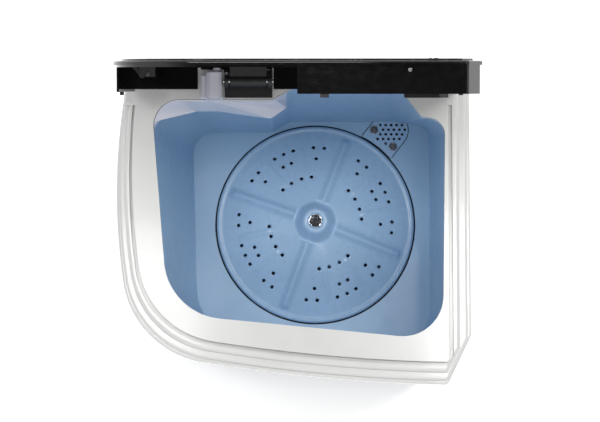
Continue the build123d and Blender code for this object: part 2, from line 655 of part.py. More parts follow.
def timer_body():
    x = KNOBS["timer"]
    body = block(x - 24, x + 24, 15, 33, -24, 24)
    body = fillet(body.edges().filter_by(Axis.Y), 4)
    return console_frame() * (body - along_y(x, 0, 14, 40, 3.0 + RUN))


def selector_body():
    x = KNOBS["selector"]
    body = block(x - 16, x + 16, 15, 21, -16, 16)
    return console_frame() * (body - along_y(x, 0, 14, 22, 3.0 + RUN))


def selector_cam():
    x = KNOBS["selector"]
    cam = along_y(x, 0, 21.5, 26, 12) + along_y(x + 6, 0, 21.5, 26, 10)
    return console_frame() * (cam - along_y(x, 0, 20, 28, 3.0))


def selector_cable():
    """Sheath of the pull cable from the selector to the drain valve."""
    x, y = VALVE
    route = [(34, -181, 648), (32, -180, 545), (24, -176, 450), (-6, -138, 376),
             (-38, -58, 352), (-50, 36, 350), (-44, 118, 364), (-18, y, STEM_Z), (x - 117, y, STEM_Z)]
    return pipe(route, [90, 60, 45, 60, 60, 50, 30], 3.0, 1.2)


# ------------------------------------------------------------------- lid
def swing(shape):
    """Turn a lid piece drawn closed to where it stands open."""
    return shape.rotate(Axis((0, HINGE_Y, HINGE_Z), (1, 0, 0)), -LID_OPEN)


def lid_shell():
    """Black side wall of the lid, cut away at its front left for the hand."""
    outer = rim(SKIRT_T, LID_REAR)
    wall = slab(outer, SKIRT_BOTTOM, PLATE_Z) - slab(offset(outer, -WALL), SKIRT_BOTTOM - 1, PLATE_Z + 1)
    wall -= block(-260, 6, -260, 62, SKIRT_BOTTOM - 1, PLATE_Z + 1)
    wall -= block(-136, -28, 150, 240, SKIRT_BOTTOM - 1, PLATE_Z + 1)
    wall -= block(156, 214, 150, 240, SKIRT_BOTTOM - 1, PLATE_Z + 1)
    wall -= block(-260, 260, HINGE_Y, 240, SKIRT_BOTTOM - 1, REAR_CUT_Z)
    ledge = slab(offset(outer, -WALL + 0.5), PLATE_Z - 2.5, PLATE_Z)
    wall += ledge - slab(offset(outer, -WALL - 2.8), PLATE_Z - 4, PLATE_Z + 1)
    for x in (-180, 60, 120):
        wall += block(x - 1.25, x + 1.25, LID_REAR - 14, LID_REAR - 1, SKIRT_BOTTOM + 8, PLATE_Z)
    return wall - along_y(146, PLATE_Z - 6, -230, -190, 1.8)


def lid_plate():
    """Crowned plate that overhangs the side wall all round."""
    plate = slab(rim(PLATE_EDGE_T, LID_REAR + 2), PLATE_Z, PLATE_Z + PLATE_T)
    return fillet(top_edges(plate), 2.4)


def lid_glass():
    """Thin glossy panel laid on the outside of the lid plate."""
    glass = slab(offset(rim(PLATE_EDGE_T, LID_REAR - 4), -12), PLATE_Z + PLATE_T, PLATE_Z + PLATE_T + 2.6)
    return fillet(top_edges(glass), 1.2)


def lid_hinge(x0, x1):
    """Knuckle block under the plate, bored for the hinge pin."""
    knuckle = along_x(HINGE_Y, HINGE_Z, x0 + 8, x1 - 8, 8)
    knuckle += block(x0 + 8, x1 - 8, HINGE_Y - 4, HINGE_Y + 4, HINGE_Z, PLATE_Z)
    knuckle += block(x0 + 8, x1 - 8, HINGE_Y - 22, HINGE_Y + 4, PLATE_Z - 3, PLATE_Z)
    return knuckle - along_x(HINGE_Y, HINGE_Z, x0, x1, PIN_R + RUN)


def hinge_mount(x0, x1):
    """Pair of ears on a foot, screwed to the rear of the panel."""
    mount = block(x0, x1, HINGE_Y - 21, HINGE_Y + 15, PANEL_Z, PANEL_Z + 4)
    for a in (x0, x1 - 6):
        mount += along_x(HINGE_Y, HINGE_Z, a, a + 6, 9)
        mount += block(a, a + 6, HINGE_Y - 9, HINGE_Y + 9, PANEL_Z, HINGE_Z)
    return mount - along_x(HINGE_Y, HINGE_Z, x0 - 1, x1 + 1, PIN_R)


def hinge_pin(x0, x1):
    return along_x(HINGE_Y, HINGE_Z, x0 - 1.5, x1 + 1.5, PIN_R)


def lid_bracket():
    """Small screwed bracket inside the left of the lid, with its gusset."""
    bracket = block(-211, -189, 82, 94, PLATE_Z - 15.5, PLATE_Z)
    gusset = Plane.XZ * make_face(Polyline((-222, PLATE_Z), (-216, PLATE_Z), (-204, PLATE_Z - 15.5),
                                           (-208, PLATE_Z - 17.5), close=True))
    bracket += extrude(Pos(0, 90, 0) * gusset, amount=4)
    return bracket - along_y(-199, PLATE_Z - 11, 70, 95, 1.9)


def lid_screws():
    front = rim_front_y(146) - 0.2
    inner = front_screw(-199, 82, PLATE_Z - 11, 9)
    return Compound(children=[inner, front_screw(146, front, PLATE_Z - 6, 2.6)])


def rim_front_y(x):
    """Outer face of the lid's front wall at x."""
    strip = slab(rim(SKIRT_T, LID_REAR), 0, 1) & block(x - 0.5, x + 0.5, -300, 0, 0, 1)
    return strip.bounding_box().min.Y


def front_screw(x, y, z, length):
    head = along_y(x, z, y - 1.8, y, 2.8)
    head = fillet(head.edges().group_by(Axis.Y)[0], 0.8)
    head -= block(x - 1.8, x + 1.8, y - 2, y - 1, z - 0.35, z + 0.35)
    head -= block(x - 0.35, x + 0.35, y - 2, y - 1, z - 1.8, z + 1.8)
    return head + along_y(x, z, y - 0.2, y + length, 1.8)


def lid_bumpers():
    low = PANEL_Z - 2.6
    front = rim_front_y(188)
    pads = [block(182.5, 193.5, front, front + WALL, low, SKIRT_BOTTOM),
            block(34.5, 45.5, rim_front_y(40), rim_front_y(40) + WALL, low, SKIRT_BOTTOM),
            block(229.5, 235.0, 110, 121, low, SKIRT_BOTTOM),
            block(-239.5, -234.5, 110, 121, low, SKIRT_BOTTOM)]
    return Compound(children=pads)


def wall_studs():
    """Rubber studs that keep the open lid off a wall."""
    studs = []
    for x, radius in ((171.0, 2.2), (178.5, 3.0)):
        z = PLATE_Z + PLATE_T
        stud = cyl(x, -208, z, z + 3.2, radius)
        studs.append(fillet(stud.edges().group_by(Axis.Z)[-1], 1.0))
    return Compound(children=studs)


def hinge_clip():
    """White retaining clip on the left hinge ear."""
    clip = cyl(-95, HINGE_Y + 12, PANEL_Z + 4, PANEL_Z + 12, 0.8)
    return clip + Pos(-95, HINGE_Y + 12, PANEL_Z + 13) * Sphere(2.2)


# ----------------------------------------------------------------- build
def build():
    os.makedirs("parts", exist_ok=True)
    save("base_tray", base_tray())
    save("feet", Compound(children=[foot(x, y) for x, y in FEET]))
    save("cabinet", cabinet())
    save("rear_service_cover", rear_cover())
    save("rear_cover_screws", Compound(children=[screw_y(x, BACK_Y + 2.4, z) for x, z in COVER_SCREWS]))
    save("top_cover", top_cover())
    save("splash_lip", splash_lip())
    save("wash_tub", wash_tub())
    save("drain_cover", drain_cover())
    save("drain_cover_screws", drain_cover_screws())
    save("drain_valve_body", valve_body())
    save("drain_valve_plunger", valve_plunger())
    save("drain_valve_stem", valve_stem())
    save("drain_valve_spring", valve_spring())
    save("drain_pipe", drain_pipe())
    save("drain_outlet", drain_outlet())
    save("cord_gland", cord_gland())
    save("inlet_fitting", inlet_fitting())
    save("inlet_pipe", inlet_pipe())
    save("inlet_spout", inlet_spout())
    save("pulsator", pulsator_disc())
    save("pulsator_screw", pulsator_screw())
    save("pulsator_shaft", pulsator_shaft())
    save("bearing_housing", bearing_housing())
    bushes = [bush(TUB_FLOOR - 51, TUB_FLOOR - 28), bush(TUB_FLOOR - 129, TUB_FLOOR - 106)]
    save("shaft_bushes", Compound(children=bushes))
    save("shaft_seal", shaft_seal())
    save("drive_pulley", drive_pulley())
    save("pulley_nut", pulley_nut())
    save("drive_belt", drive_belt())
    save("wash_motor", wash_motor())
    save("motor_shaft", motor_shaft())
    save("motor_pulley", motor_pulley())
    save("motor_mounts", motor_mounts())
    save("motor_bolts", motor_bolts())
    save("motor_bracket", motor_bracket())
    save("capacitor", capacitor())
    save("capacitor_clamp", capacitor_clamp())
    save("console_fascia", console_fascia())
    for name, x in KNOBS.items():
        save(name + "_knob", knob(x))
        save(name + "_shaft", knob_shaft(x))
    save("timer_body", timer_body())
    save("selector_body", selector_body())
    save("selector_cam", selector_cam())
    save("selector_cable", selector_cable())
    save("lid_shell", swing(lid_shell()))
    save("lid_plate", swing(lid_plate()))
    save("lid_glass", swing(lid_glass()))
    for side, (x0, x1) in HINGES.items():
        save("lid_hinge_" + side, swing(lid_hinge(x0, x1)))
        save("hinge_mount_" + side, hinge_mount(x0, x1))
    save("hinge_pins", Compound(children=[hinge_pin(x0, x1) for x0, x1 in HINGES.values()]))
    save("lid_bracket", swing(lid_bracket()))
    save("lid_screws", swing(lid_screws()))
    save("lid_bumpers", swing(lid_bumpers()))
    save("wall_studs", swing(wall_studs()))
    save("hinge_clip", hinge_clip())


build()
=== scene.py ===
import json
import math

import bmesh
import bpy
from mathutils import Matrix, Vector, geometry


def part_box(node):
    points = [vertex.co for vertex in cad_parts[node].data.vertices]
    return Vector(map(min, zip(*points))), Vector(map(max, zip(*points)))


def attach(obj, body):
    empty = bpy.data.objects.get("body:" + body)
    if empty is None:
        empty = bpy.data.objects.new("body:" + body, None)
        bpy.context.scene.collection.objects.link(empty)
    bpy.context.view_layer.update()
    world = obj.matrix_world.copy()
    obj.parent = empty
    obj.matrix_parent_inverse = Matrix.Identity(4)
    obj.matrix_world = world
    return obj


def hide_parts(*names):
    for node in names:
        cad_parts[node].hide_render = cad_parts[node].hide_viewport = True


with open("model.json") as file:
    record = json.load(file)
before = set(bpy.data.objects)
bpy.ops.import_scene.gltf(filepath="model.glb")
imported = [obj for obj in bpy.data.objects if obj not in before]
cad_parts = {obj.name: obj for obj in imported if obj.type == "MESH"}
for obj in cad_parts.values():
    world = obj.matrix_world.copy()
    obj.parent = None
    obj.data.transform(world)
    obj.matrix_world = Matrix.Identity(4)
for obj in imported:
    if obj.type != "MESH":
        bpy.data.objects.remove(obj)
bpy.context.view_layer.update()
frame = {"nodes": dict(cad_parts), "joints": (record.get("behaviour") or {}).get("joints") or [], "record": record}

# Looks of a top load washing machine. Metres, +Z up, front towards -Y.

# ---------------------------------------------------------------- camera
TILT = math.radians(6.5)        # camera's lean from straight down, to the rear
CAMERA_AHEAD = 0.1165           # how far in front of the body the camera hangs
CAMERA_X = 0.0095
CAMERA_ABOVE_PANEL = 3.172
LENS_MM, SENSOR_MM = 135.0, 36.0

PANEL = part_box("top_cover")[1].z
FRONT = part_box("top_cover")[0].y
MM = 0.001

# --------------------------------------------------------- pulsator disc
RIB_TURN = 69.5                 # direction of the first main rib, degrees
HUB_R, CONE_R = 34.0, 148.0     # where the cone starts and ends, millimetres
CONE_RISE = 32.0                # how much higher the cone is at the hub
HOLE_R = 2.8
BORE_R, RIM_R = 10.8, 154.8     # mouth of the hub and outer edge of the disc
# Each pair is (radius of the ring of holes, angles after each main rib).
HOLE_RINGS = [(120.5, (13.7, 21.8, 37.2, 44.9, 52.4, 68.4, 76.2)),
              (102.3, (19.7, 42.1, 50.1, 70.5)),
              (72.5, (25.1, 37.8, 51.6, 64.9))]
SMALL_RIBS = (31.0, 59.0)

# ------------------------------------------------------------ drain cover
DRAIN, DRAIN_R = (0.1515, 0.184), 0.0293    # round end of the cover, metres
GAP_SHADE_STOP = 0.1585                          # where its strip of painted shade meets the disc's recess
SCREW_SEAT_R = 6.6                          # outer radius of a screw's seat, millimetres

# ----------------------------------------------------------------- studio
SKY_LOW, SKY_HIGH = (0.85, 0.86, 0.88), (0.02, 0.02, 0.022)
TABLE_GLOW = 0.38               # the stage is a light table, which softens the shadows
AIM = (0, 0, 0.6)
# Each row is (name, place, size, watts, colour).
LIGHTS = [("left", (-0.9, 0.2, 4.0), (0.5, 1.3), 23, (1.0, 1.0, 1.0)),
          ("right", (0.95, 0.25, 3.8), (0.5, 1.3), 33, (1.0, 0.99, 0.98)),
          ("rear", (0.1, 1.6, 4.0), (1.6, 0.8), 8, (1.0, 1.0, 1.0)),
          ("front", (0.0, -1.5, 4.0), (1.6, 0.8), 18, (1.0, 1.0, 1.0))]


# ------------------------------------------------------- material builder
def link(tree, a, b):
    tree.links.new(a, b)


def noise(tree, scale, detail=3.0, stretch=(1, 1, 1)):
    """Noise texture in the object's own metres, stretched along its axes."""
    coord = tree.nodes.new("ShaderNodeTexCoord")
    mapping = tree.nodes.new("ShaderNodeMapping")
    mapping.inputs["Scale"].default_value = stretch
    texture = tree.nodes.new("ShaderNodeTexNoise")
    texture.inputs["Scale"].default_value = scale
    texture.inputs["Detail"].default_value = detail
    link(tree, coord.outputs["Object"], mapping.inputs["Vector"])
    link(tree, mapping.outputs["Vector"], texture.inputs["Vector"])
    return texture.outputs["Fac"]


def ramp(tree, value, stops):
    """Colour looked up from a value by (place, colour) stops."""
    node = tree.nodes.new("ShaderNodeValToRGB")
    band = node.color_ramp
    while len(band.elements) < len(stops):
        band.elements.new(0.5)
    for element, (place, colour) in zip(band.elements, stops):
        element.position = place
        element.color = (*colour, 1.0)
    link(tree, value, node.inputs["Fac"])
    return node.outputs["Color"]


def between(tree, value, low, high):
    """The middle of a noise, spread from low to high."""
    node = tree.nodes.new("ShaderNodeMapRange")
    node.inputs["From Min"].default_value = 0.3
    node.inputs["From Max"].default_value = 0.7
    node.inputs["To Min"].default_value = low
    node.inputs["To Max"].default_value = high
    link(tree, value, node.inputs["Value"])
    return node.outputs["Result"]


def mix(tree, factor, a, b):
    node = tree.nodes.new("ShaderNodeMix")
    node.data_type = "RGBA"
    link(tree, factor, node.inputs[0])
    link(tree, a, node.inputs[6])
    link(tree, b, node.inputs[7])
    return node.outputs[2]


def bump(tree, height, strength, distance, normal=None):
    node = tree.nodes.new("ShaderNodeBump")
    node.inputs["Strength"].default_value = strength
    node.inputs["Distance"].default_value = distance
    link(tree, height, node.inputs["Height"])
    if normal is not None:
        link(tree, normal, node.inputs["Normal"])
    return node.outputs["Normal"]


def tone(colour, factor):
    """A colour made lighter or darker by a factor."""
    return tuple(min(c * factor, 1.0) for c in colour)


def surface(name, colour, vary=0.05, cloud=5.0, rough=(0.25, 0.35), grain=(700.0, 0.08),
            wave=(14.0, 0.0), metallic=0.0, coat=0.0, coat_rough=0.08, stretch=(1, 1, 1)):
    """Plastic, rubber or metal: cloudy colour, uneven gloss, grain and slow waves."""
    material = bpy.data.materials.new(name)
    material.use_nodes = True
    tree = material.node_tree
    shader = tree.nodes["Principled BSDF"]
    shader.inputs["Metallic"].default_value = metallic
    shader.inputs["Coat Weight"].default_value = coat
    shader.inputs["Coat Roughness"].default_value = coat_rough
    shades = [(0.3, tone(colour, 1 - vary)), (0.7, tone(colour, 1 + vary))]
    tint = ramp(tree, noise(tree, cloud, 4.0), shades)
    link(tree, tint, shader.inputs["Base Color"])
    gloss = between(tree, noise(tree, cloud * 9, 5.0, stretch), *rough)
    link(tree, gloss, shader.inputs["Roughness"])
    normal = bump(tree, noise(tree, grain[0], 2.0, stretch), grain[1], 0.0004)
    if wave[1]:
        normal = bump(tree, noise(tree, wave[0], 1.0), wave[1], 0.004, normal)
    link(tree, normal, shader.inputs["Normal"])
    return material


def painted_height_shade(material, low, high, low_tone, high_tone):
    """Multiplies a material's colour by a painted shade that changes with height."""
    tree = material.node_tree
    shader = tree.nodes["Principled BSDF"]
    coord = tree.nodes.new("ShaderNodeTexCoord")
    split = tree.nodes.new("ShaderNodeSeparateXYZ")
    link(tree, coord.outputs["Object"], split.inputs[0])
    scale = tree.nodes.new("ShaderNodeMapRange")
    scale.inputs["From Min"].default_value = low
    scale.inputs["From Max"].default_value = high
    link(tree, split.outputs["Z"], scale.inputs["Value"])
    shade = ramp(tree, scale.outputs["Result"], [(0.0, low_tone), (1.0, high_tone)])
    multiply = tree.nodes.new("ShaderNodeMix")
    multiply.data_type = "RGBA"
    multiply.blend_type = "MULTIPLY"
    multiply.inputs[0].default_value = 1.0
    source = shader.inputs["Base Color"].links[0].from_socket
    link(tree, source, multiply.inputs[6])
    link(tree, shade, multiply.inputs[7])
    link(tree, multiply.outputs[2], shader.inputs["Base Color"])
    return material


def speckle(material, colour, size):
    """Fine light flecks printed on the outside of the lid."""
    tree = material.node_tree
    shader = tree.nodes["Principled BSDF"]
    coord = tree.nodes.new("ShaderNodeTexCoord")
    cells = tree.nodes.new("ShaderNodeTexVoronoi")
    cells.inputs["Scale"].default_value = size
    link(tree, coord.outputs["Object"], cells.inputs["Vector"])
    dots = ramp(tree, cells.outputs["Distance"], [(0.16, (1, 1, 1)), (0.24, (0, 0, 0))])
    flecks = tree.nodes.new("ShaderNodeRGB")
    flecks.outputs[0].default_value = (*colour, 1.0)
    source = shader.inputs["Base Color"].links[0].from_socket
    link(tree, mix(tree, dots, source, flecks.outputs[0]), shader.inputs["Base Color"])
    return material


# ---------------------------------------------------------- the materials
def body_white():
    return surface("body_white", (0.64, 0.64, 0.625), 0.02, 3.0, (0.16, 0.24), (900.0, 0.05),
                   (9.0, 0.02), coat=0.35)


def lining_white():
    return surface("lining_white", (0.74, 0.75, 0.84), 0.03, 8.0, (0.15, 0.25), (800.0, 0.05),
                   (30.0, 0.04), coat=0.5)


def tub_blue():
    material = surface("tub_blue", (0.41, 0.61, 0.80), 0.04, 6.0, (0.30, 0.42), (600.0, 0.02),
                       coat=0.10)
    low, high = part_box("wash_tub")
    # painted shade: the tub is darker and cooler towards its rim than at its floor
    return painted_height_shade(material, low.z + 0.03, high.z, (1.0, 1.0, 1.0), (0.78, 0.80, 0.86))


def disc_blue():
    return surface("disc_blue", (0.43, 0.62, 0.82), 0.03, 9.0, (0.24, 0.34), (700.0, 0.05),
                   (25.0, 0.01), coat=0.25)


def lid_black():
    return surface("lid_black", (0.0045, 0.0042, 0.0042), 0.20, 12.0, (0.06, 0.12), (900.0, 0.02),
                   (8.0, 0.02), coat=0.3, coat_rough=0.03)


def lid_gloss():
    return speckle(surface("lid_gloss", (0.004, 0.004, 0.0045), 0.15, 8.0, (0.10, 0.16), (500.0, 0.01),
                           (6.0, 0.015)), (0.16, 0.15, 0.14), 420.0)


def black_plastic():
    return surface("black_plastic", (0.018, 0.018, 0.020), 0.15, 20.0, (0.42, 0.58), (1500.0, 0.30))


def grey_plastic():
    return surface("grey_plastic", (0.30, 0.31, 0.33), 0.06, 12.0, (0.38, 0.52), (1100.0, 0.22))


def base_grey():
    return surface("base_grey", (0.21, 0.22, 0.24), 0.08, 10.0, (0.42, 0.60), (900.0, 0.28))


def knob_white():
    return surface("knob_white", (0.78, 0.78, 0.78), 0.02, 20.0, (0.16, 0.25), (1200.0, 0.06), coat=0.4)


def rubber_black():
    return surface("rubber_black", (0.017, 0.017, 0.018), 0.20, 40.0, (0.68, 0.86), (1300.0, 0.35))


def steel():
    return surface("steel", (0.52, 0.53, 0.55), 0.06, 20.0, (0.20, 0.34), (500.0, 0.10),
                   metallic=1.0, stretch=(6, 6, 0.3))


def screw_steel():
    return surface("screw_steel", (0.16, 0.16, 0.17), 0.10, 60.0, (0.22, 0.38), (900.0, 0.12), metallic=1.0)


def chrome():
    return surface("chrome", (0.78, 0.79, 0.81), 0.02, 30.0, (0.04, 0.09), (600.0, 0.02), metallic=1.0)


def cast_aluminium():
    return surface("cast_aluminium", (0.50, 0.51, 0.52), 0.09, 25.0, (0.38, 0.55), (1000.0, 0.30),
                   metallic=1.0)


def bronze():
    return surface("bronze", (0.48, 0.31, 0.15), 0.12, 60.0, (0.32, 0.48), (1400.0, 0.25), metallic=1.0)


def bracket_steel():
    return surface("bracket_steel", (0.17, 0.18, 0.20), 0.08, 30.0, (0.35, 0.50), (700.0, 0.15), coat=0.2)


MAKERS = (body_white, lining_white, tub_blue, disc_blue, lid_black, lid_gloss, black_plastic,
          grey_plastic, base_grey, knob_white, rubber_black, steel, screw_steel, chrome,
          cast_aluminium, bronze, bracket_steel)
MATERIALS = {maker.__name__: maker() for maker in MAKERS}


def dress_cad():
    """Each CAD node takes the material of its slot in the record."""
    for row in frame["record"]["subparts"]:
        obj = frame["nodes"][row["node"]]
        for index in range(len(obj.data.materials)):
            obj.data.materials[index] = MATERIALS[row["material_slot"]]


# ------------------------------------------------------------ mesh pieces
def disc_centre():
    """Centre of the pulsator in plan."""
    low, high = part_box("pulsator")
    return (low.x + high.x) / 2, (low.y + high.y) / 2


def tub_floor():
    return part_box("drain_cover")[1].z


def piece(name, mesh, slot, body):
    """Object from a bmesh, smooth shaded, dressed and riding on a body."""
    data = bpy.data.meshes.new(name)
    mesh.normal_update()
    mesh.to_mesh(data)
    mesh.free()
    data.materials.append(MATERIALS[slot])
    obj = bpy.data.objects.new(name, data)
    bpy.context.scene.collection.objects.link(obj)
    for polygon in data.polygons:
        polygon.use_smooth = True
    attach(obj, body)
    return obj


def turned(mesh, profile, place, steps=48):
    """Closed ring of revolution: profile points are (radius, height), place a matrix."""
    rings = []
    for radius, height in profile:
        ring = []
        for k in range(steps):
            a = 2 * math.pi * k / steps
            point = Vector((radius * math.cos(a), radius * math.sin(a), height))
            ring.append(mesh.verts.new(place @ point))
        rings.append(ring)
    for i, ring in enumerate(rings):
        after = rings[(i + 1) % len(rings)]
        for k in range(steps):
            n = (k + 1) % steps
            mesh.faces.new((ring[k], ring[n], after[n], after[k]))


def bar(mesh, place, size, soft):
    """Small rounded bar: a box with its edges bevelled."""
    made = bmesh.ops.create_cube(mesh, size=1.0, matrix=place @ Matrix.Diagonal((*size, 1.0)))
    edges = list({e for v in made["verts"] for e in v.link_edges})
    bmesh.ops.bevel(mesh, geom=edges, offset=soft, segments=2, profile=0.6, affect="EDGES")


def axis_frame(origin, axis):
    """Matrix with its Z along axis and its Y as near to straight up as it can be."""
    z = Vector(axis).normalized()
    x = Vector((0, 0, 1)).cross(z).normalized()
    y = z.cross(x)
    turn = Matrix((x, y, z)).transposed().to_4x4()
    return Matrix.Translation(origin) @ turn


def smooth(a, b, x):
    """0 below a, 1 above b, and an even curve between."""
    t = min(max((x - a) / (b - a), 0.0), 1.0)
    return t * t * (3 - 2 * t)


def rib_height(x, y, degrees, inner, outer, rise, width):
    """Height of one soft rounded rib at x, y, millimetres from the disc's centre."""
    a = math.radians(degrees)
    along = x * math.cos(a) + y * math.sin(a)
    across = -x * math.sin(a) + y * math.cos(a)
    if along < inner - 8 or abs(across) > 4 * width:
        return 0.0
    ends = smooth(inner - 8, inner, along) * (1 - smooth(outer - 4, outer + 4, along))
    return rise * ends * math.exp(-(across / width) ** 2)


def disc_height(x, y, edge):
    """Height of the pulsator above the edge of its cone."""
    r = math.hypot(x, y)
    if r < HUB_R:
        low = edge + CONE_RISE
        return low + 20.0 * (1 - smooth(16.0, HUB_R, r)) - 1.5 * (1 - smooth(10.8, 14.0, r))
    height = edge + CONE_RISE * max(CONE_R - r, 0.0) / (CONE_R - HUB_R)
    height += 1.2 * smooth(CONE_R - 1, CONE_R + 2, r) - 2.6 * smooth(152.0, 155.0, r)
    for quarter in range(4):
        turn = RIB_TURN + 90 * quarter
        height += rib_height(x, y, turn, 30, 140, 7.0, 6.6)
        for small in SMALL_RIBS:
            height += rib_height(x, y, turn + small, 78, 120, 1.6, 3.0)
    return height


def disc_holes():
    return [(r * math.cos(math.radians(a)), r * math.sin(math.radians(a)))
            for quarter in range(4) for r, angles in HOLE_RINGS
            for a in [RIB_TURN + 90 * quarter + angle for angle in angles]]


def pulsator_disc():
    """Soft ribbed disc with true holes, filled in plan and then lifted to its shape."""
    low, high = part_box("pulsator")
    cx, cy = disc_centre()
    bore, rim = BORE_R, RIM_R
    edge = (high.z - CONE_RISE * MM - 21 * MM) / MM
    holes = disc_holes()
    points, edges = [], []

    def ring(x, y, radius, count):
        start = len(points)
        for k in range(count):
            a = 2 * math.pi * k / count
            points.append(Vector((x + radius * math.cos(a), y + radius * math.sin(a))))
        return start

    def closed(start, count):
        edges.extend((start + k, start + (k + 1) % count) for k in range(count))

    closed(ring(0, 0, bore, 64), 64)
    closed(ring(0, 0, rim, 256), 256)
    for x, y in holes:
        closed(ring(x, y, HOLE_R, 14), 14)
    radius = bore + 1.2
    while radius < rim - 0.6:
        count = max(64, int(2 * math.pi * radius / 2.6))
        for k in range(count):
            a = 2 * math.pi * k / count
            x, y = radius * math.cos(a), radius * math.sin(a)
            if all(math.hypot(x - hx, y - hy) > HOLE_R + 0.8 for hx, hy in holes):
                points.append(Vector((x, y)))
        radius += 1.2 if radius < 36 or radius > 146 else 2.6
    flat, _, faces, _, _, _ = geometry.delaunay_2d_cdt(points, edges, [], 0, 1e-5)
    mesh = bmesh.new()
    verts = [mesh.verts.new((cx + p.x * MM, cy + p.y * MM, disc_height(p.x, p.y, edge) * MM)) for p in flat]
    for face in faces:
        x = sum(flat[i].x for i in face) / len(face)
        y = sum(flat[i].y for i in face) / len(face)
        open_here = math.hypot(x, y) < bore - 0.02 or math.hypot(x, y) > rim
        open_here = open_here or any(math.hypot(x - hx, y - hy) < HOLE_R - 0.05 for hx, hy in holes)
        if not open_here:
            mesh.faces.new([verts[i] for i in face])
    for vert in [v for v in mesh.verts if not v.link_faces]:
        mesh.verts.remove(vert)
    skirt(mesh, cx, cy, rim * MM, low.z + 1 * MM)
    bmesh.ops.recalc_face_normals(mesh, faces=mesh.faces)
    obj = piece("pulsator_disc", mesh, "disc_blue", "pulsator_drive")
    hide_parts("pulsator")
    return obj


def skirt(mesh, cx, cy, rim, foot):
    """Walls down from every open edge: 4 mm in the holes, to the foot at the rim."""
    made = bmesh.ops.extrude_edge_only(mesh, edges=[e for e in mesh.edges if e.is_boundary])
    for vert in [g for g in made["geom"] if isinstance(g, bmesh.types.BMVert)]:
        r = math.hypot(vert.co.x - cx, vert.co.y - cy)
        if r > rim - 0.5 * MM:
            vert.co.z = foot
        elif r < 12 * MM:
            vert.co.z -= 24 * MM
        else:
            vert.co.z -= 4 * MM


def disc_gap_shade():
    """Black ring of painted shade that fills the gap between the disc and the tub, so the gap reads dark."""
    place = Matrix.Translation((*disc_centre(), tub_floor()))
    outline = [(155.3, -2.2), (156.3, -1.2), (157.45, -1.0), (157.45, -8.0), (155.3, -8.0)]
    mesh = bmesh.new()
    turned(mesh, [(r * MM, h * MM) for r, h in outline], place, 192)
    return piece("disc_gap_shade", mesh, "rubber_black", "root")


def drain_hole_shade():
    """Dark disc of painted shade under the holes of the drain cover, so the holes read dark."""
    low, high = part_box("drain_cover")
    screws_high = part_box("drain_cover_screws")[1]
    x = (high.x + screws_high.x) / 2 - 14 * MM
    y = (high.y + screws_high.y) / 2 - 13 * MM
    outline = [(0.4, 0.0), (21.0, 0.0), (22.0, -0.6), (22.0, -2.6), (0.4, -2.6)]
    place = Matrix.Translation((x, y, low.z - 0.4 * MM))
    mesh = bmesh.new()
    turned(mesh, [(r * MM, h * MM) for r, h in outline], place, 64)
    return piece("drain_hole_shade", mesh, "rubber_black", "root")


def hub_ring():
    """Bright ring pressed into the mouth of the pulsator's hub."""
    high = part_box("pulsator")[1]
    screw_low, screw_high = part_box("pulsator_screw")
    centre = (screw_low + screw_high) / 2
    top = high.z + 0.3 * MM
    place = Matrix.Translation((centre.x, centre.y, top))
    outline = [(9.2, -9.0), (9.4, -1.4), (9.9, -0.5), (10.5, -0.5), (10.7, -1.4), (10.7, -9.0)]
    mesh = bmesh.new()
    turned(mesh, [(r * MM, h * MM) for r, h in outline], place)
    return piece("hub_ring", mesh, "chrome", "pulsator_drive")


def screw_rings():
    """Bright washers under the heads of the drain cover's two screws."""
    low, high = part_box("drain_cover_screws")
    seat = SCREW_SEAT_R * MM
    mesh = bmesh.new()
    outline = [(4.9, -0.9), (5.2, 0.35), (5.9, 0.7), (6.6, 0.35), (6.7, -0.9)]
    for x, y in ((low.x + seat, high.y - seat), (high.x - seat, low.y + seat)):
        turned(mesh, [(r * MM, h * MM) for r, h in outline], Matrix.Translation((x, y, tub_floor() - MM)))
    return piece("drain_screw_rings", mesh, "steel", "root")


def drain_gap_shade():
    """Dark strip of painted shade in the gap round the drain cover, from the disc's recess and back."""
    hub = Vector(disc_centre())
    round_end = Vector(DRAIN)
    toward = (hub - round_end).normalized()
    side = Vector((-toward.y, toward.x))
    reach = (hub - round_end).length - GAP_SHADE_STOP
    start = math.atan2(side.y, side.x)
    path = [round_end + side * DRAIN_R + toward * reach]
    for k in range(49):
        a = start + math.pi * k / 48
        path.append(round_end + DRAIN_R * Vector((math.cos(a), math.sin(a))))
    path.append(round_end - side * DRAIN_R + toward * reach)
    section = [(-0.7, -0.8), (-0.7, 0.1), (-0.3, 0.35), (0.3, 0.35), (0.7, 0.1), (0.7, -0.8)]
    mesh = bmesh.new()
    rows = []
    for i, point in enumerate(path):
        ahead, behind = path[min(i + 1, len(path) - 1)], path[max(i - 1, 0)]
        run = (ahead - behind).normalized()
        out = Vector((run.y, -run.x))
        rows.append([mesh.verts.new((*(point + out * x * MM), tub_floor() + z * MM)) for x, z in section])
    for row, after in zip(rows, rows[1:]):
        for k in range(len(section)):
            n = (k + 1) % len(section)
            mesh.faces.new((row[k], row[n], after[n], after[k]))
    mesh.faces.new(rows[0])
    mesh.faces.new(rows[-1])
    bmesh.ops.recalc_face_normals(mesh, faces=mesh.faces)
    return piece("drain_gap_shade", mesh, "rubber_black", "root")


def rear_shade_strip():
    """Black strip of painted shade on the panel behind the spout and the left hinge, where the lid leaves deep
    shade.
    """
    spout_low, spout_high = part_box("inlet_spout")
    mount_low, mount_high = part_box("hinge_mount_left")
    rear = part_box("top_cover")[1].y - MM
    mesh = bmesh.new()
    for x0, x1, y0 in ((spout_low.x, mount_low.x - MM, spout_high.y + 0.5 * MM),
                       (mount_low.x - MM, mount_high.x, mount_high.y + 0.5 * MM)):
        size = (x1 - x0, rear - y0, 3 * MM)
        middle = ((x0 + x1) / 2, (y0 + rear) / 2, PANEL + 1.6 * MM)
        bar(mesh, Matrix.Translation(middle), size, 0.6 * MM)
    return piece("rear_shade_strip", mesh, "lid_black", "root")


